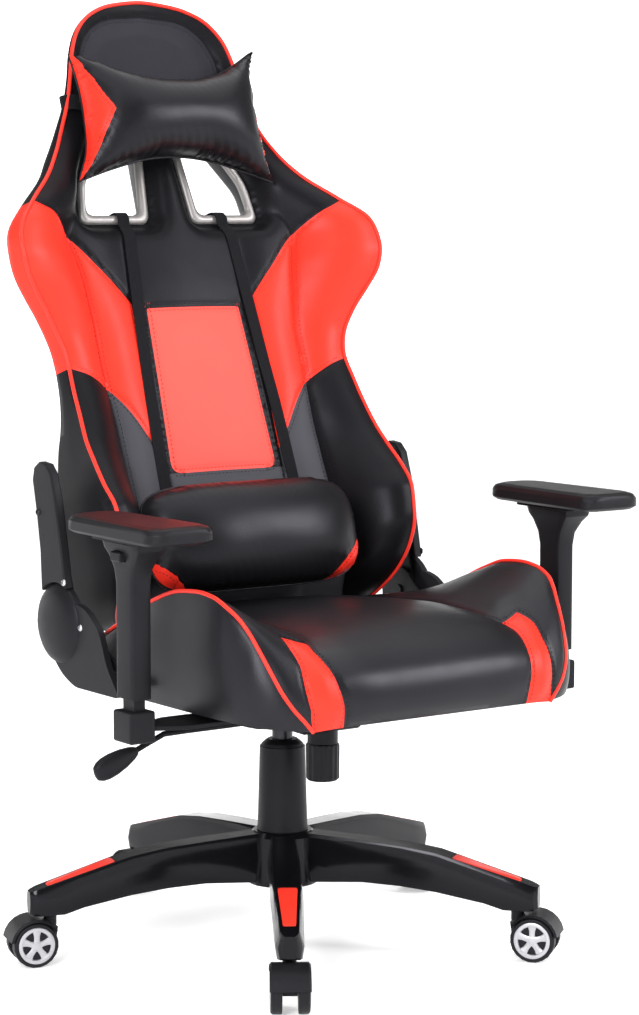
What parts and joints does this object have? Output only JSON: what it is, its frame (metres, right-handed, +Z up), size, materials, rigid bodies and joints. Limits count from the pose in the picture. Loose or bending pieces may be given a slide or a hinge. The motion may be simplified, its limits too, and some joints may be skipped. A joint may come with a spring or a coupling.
{
  "type": "gaming chair",
  "caption": "Racing-style gaming chair: bucket seat, winged reclining back with two pillows, adjustable armrests, on a tilting, swivelling gas-lift star base with castors.",
  "frame": {"origin": "centre of the bounding box's footprint, on the floor", "axes": "+Z up, the sitter faces -Y, +X is the sitter's left"},
  "size_m": [0.7742, 0.755, 1.2859],
  "materials": {
    "black_leather": "satin",
    "red_leather": "satin",
    "grey_leather": "satin",
    "pillow_leather": "satin",
    "gloss_plastic": "gloss",
    "red_inlay": "satin",
    "matt_plastic": "matte",
    "ring_plastic": "gloss",
    "tyre": "matte",
    "silver": "satin",
    "steel": "satin",
    "black_steel": "satin",
    "webbing": "matte",
    "arm_pad": "satin"
  },
  "bodies": {
    "base": {"star_base": "gloss_plastic", "gas_lift_tube": "black_steel", "column_cover_lower": "matt_plastic"},
    "cover_middle": {"column_cover_middle": "matt_plastic"},
    "column": {"gas_lift_rod": "steel", "column_cover_upper": "matt_plastic"},
    "mechanism": {"tilt_housing": "black_steel", "tilt_pivot_pin": "steel", "tension_spring": "steel"},
    "knob": {"tension_knob": "matt_plastic"},
    "lever_collar": {"lift_lever_bush": "matt_plastic"},
    "lever": {"lift_lever": "black_steel", "lift_lever_grip": "matt_plastic"},
    "seat": {"seat_plate": "black_steel", "seat_frame": "black_steel", "seat_cushion": "black_leather", "seat_wing_left": "black_leather", "seat_wing_right": "black_leather", "arm_bracket_left": "black_steel", "arm_bracket_right": "black_steel", "arm_upright_left": "matt_plastic", "arm_upright_right": "matt_plastic", "recliner_bracket_left": "black_steel", "recliner_bracket_right": "black_steel", "recliner_cover_left": "matt_plastic", "recliner_cover_right": "matt_plastic"},
    "back": {"back_frame": "black_steel", "back_cushion": "black_leather", "back_rear_cover": "black_leather", "head_pillow": "pillow_leather", "lumbar_pillow": "pillow_leather", "head_pillow_strap": "webbing", "recliner_arm_left": "black_steel", "recliner_arm_right": "black_steel", "recliner_arm_cover_left": "matt_plastic", "recliner_arm_cover_right": "matt_plastic", "harness_ring_left": "ring_plastic", "harness_ring_right": "ring_plastic", "lumbar_strap_left": "webbing", "lumbar_strap_right": "webbing"},
    "recline_handle": {"recline_lever": "black_steel"},
    "arm_left": {"arm_shroud_left": "matt_plastic"},
    "arm_push_left": {"arm_button_left": "matt_plastic"},
    "pad_plate_left": {"arm_pad_plate_left": "black_steel"},
    "pad_left": {"arm_pad_left": "arm_pad"},
    "arm_right": {"arm_shroud_right": "matt_plastic"},
    "arm_push_right": {"arm_button_right": "matt_plastic"},
    "pad_plate_right": {"arm_pad_plate_right": "black_steel"},
    "pad_right": {"arm_pad_right": "arm_pad"},
    "castor_1": {"castor_hood_1": "matt_plastic"},
    "wheels_1": {"castor_wheels_1": "tyre"},
    "castor_2": {"castor_hood_2": "matt_plastic"},
    "wheels_2": {"castor_wheels_2": "tyre"},
    "castor_3": {"castor_hood_3": "matt_plastic"},
    "wheels_3": {"castor_wheels_3": "tyre"},
    "castor_4": {"castor_hood_4": "matt_plastic"},
    "wheels_4": {"castor_wheels_4": "tyre"},
    "castor_5": {"castor_hood_5": "matt_plastic"},
    "wheels_5": {"castor_wheels_5": "tyre"}
  },
  "joints": [
    {"name": "castor_swivel_1", "type": "hinge", "parent": "base", "child": "castor_1", "pos_m": [-0.17891, -0.301, 0.06], "axis": [0, 0, 1], "continuous": true},
    {"name": "castor_roll_1", "type": "hinge", "parent": "castor_1", "child": "wheels_1", "pos_m": [-0.19226, -0.32155, 0.03], "axis": [0.8387, -0.5446, 0], "continuous": true},
    {"name": "castor_swivel_2", "type": "hinge", "parent": "base", "child": "castor_2", "pos_m": [0.20673, -0.28079, 0.06], "axis": [0, 0, 1], "continuous": true},
    {"name": "castor_roll_2", "type": "hinge", "parent": "castor_2", "child": "wheels_2", "pos_m": [0.22215, -0.29983, 0.03], "axis": [0.7771, 0.6293, 0], "continuous": true},
    {"name": "castor_swivel_3", "type": "hinge", "parent": "base", "child": "castor_3", "pos_m": [0.30668, 0.09222, 0.06], "axis": [0, 0, 1], "continuous": true},
    {"name": "castor_roll_3", "type": "hinge", "parent": "castor_3", "child": "wheels_3", "pos_m": [0.32955, 0.101, 0.03], "axis": [-0.3584, 0.9336, 0], "continuous": true},
    {"name": "castor_swivel_4", "type": "hinge", "parent": "base", "child": "castor_4", "pos_m": [-0.01719, 0.30255, 0.06], "axis": [0, 0, 1], "continuous": true},
    {"name": "castor_roll_4", "type": "hinge", "parent": "castor_4", "child": "wheels_4", "pos_m": [-0.01847, 0.32702, 0.03], "axis": [-0.9986, -0.0523, 0], "continuous": true},
    {"name": "castor_swivel_5", "type": "hinge", "parent": "base", "child": "castor_5", "pos_m": [-0.31731, 0.05952, 0.06], "axis": [0, 0, 1], "continuous": true},
    {"name": "castor_roll_5", "type": "hinge", "parent": "castor_5", "child": "wheels_5", "pos_m": [-0.34097, 0.06586, 0.03], "axis": [-0.2588, -0.9659, 0], "continuous": true},
    {"name": "lift_height", "type": "slide", "parent": "base", "child": "column", "axis": [0, 0, 1], "range_m": [0, 0.08]},
    {"name": "cover_rise", "type": "slide", "parent": "base", "child": "cover_middle", "axis": [0, 0, 1], "range_m": [0, 0.04]},
    {"name": "seat_swivel", "type": "hinge", "parent": "column", "child": "mechanism", "pos_m": [0, -0.0255, 0.3], "axis": [0, 0, 1], "continuous": true},
    {"name": "tension_turn", "type": "hinge", "parent": "mechanism", "child": "knob", "pos_m": [0, -0.1205, 0.265], "axis": [0, 0, 1], "range_deg": [-360, 360]},
    {"name": "tilt_lock", "type": "slide", "parent": "mechanism", "child": "lever_collar", "axis": [-1, 0, 0], "range_m": [0, 0.015]},
    {"name": "lift_lever_pull", "type": "hinge", "parent": "lever_collar", "child": "lever", "pos_m": [-0.0535, -0.0815, 0.3215], "axis": [0, 1, 0], "range_deg": [0, 5], "stiffness_Nm_per_rad": 6, "springref_deg": -8.59},
    {"name": "seat_tilt", "type": "hinge", "parent": "mechanism", "child": "seat", "pos_m": [0, -0.0705, 0.344], "axis": [-1, 0, 0], "range_deg": [0, 12], "stiffness_Nm_per_rad": 150, "springref_deg": -17.19},
    {"name": "back_recline", "type": "hinge", "parent": "seat", "child": "back", "pos_m": [0, 0.0745, 0.452], "axis": [-1, 0, 0], "range_deg": [0, 60]},
    {"name": "recline_release", "type": "hinge", "parent": "seat", "child": "recline_handle", "pos_m": [-0.2805, -0.0455, 0.395], "axis": [-1, 0, 0], "range_deg": [0, 15], "stiffness_Nm_per_rad": 0.6, "springref_deg": -14.32},
    {"name": "arm_height_left", "type": "slide", "parent": "seat", "child": "arm_left", "axis": [0, 0, 1], "range_m": [-0.012, 0.058]},
    {"name": "arm_button_left", "type": "slide", "parent": "arm_left", "child": "arm_push_left", "axis": [-1, 0, 0], "range_m": [0, 0.003], "stiffness_N_per_m": 400, "springref_m": -0.003},
    {"name": "arm_pad_turn_left", "type": "hinge", "parent": "arm_left", "child": "pad_plate_left", "pos_m": [0.34, -0.1955, 0.594], "axis": [0, 0, 1], "range_deg": [-20, 20]},
    {"name": "arm_pad_slide_left", "type": "slide", "parent": "pad_plate_left", "child": "pad_left", "axis": [0, 1, 0], "range_m": [-0.02, 0.02]},
    {"name": "arm_height_right", "type": "slide", "parent": "seat", "child": "arm_right", "axis": [0, 0, 1], "range_m": [-0.012, 0.058]},
    {"name": "arm_button_right", "type": "slide", "parent": "arm_right", "child": "arm_push_right", "axis": [1, 0, 0], "range_m": [0, 0.003], "stiffness_N_per_m": 400, "springref_m": -0.003},
    {"name": "arm_pad_turn_right", "type": "hinge", "parent": "arm_right", "child": "pad_plate_right", "pos_m": [-0.34, -0.1955, 0.594], "axis": [0, 0, 1], "range_deg": [-20, 20]},
    {"name": "arm_pad_slide_right", "type": "slide", "parent": "pad_plate_right", "child": "pad_right", "axis": [0, 1, 0], "range_m": [-0.02, 0.02]}
  ],
  "couplings": [
    {"joint": "cover_rise", "follows": "lift_height", "ratio": 0.5}
  ]
}
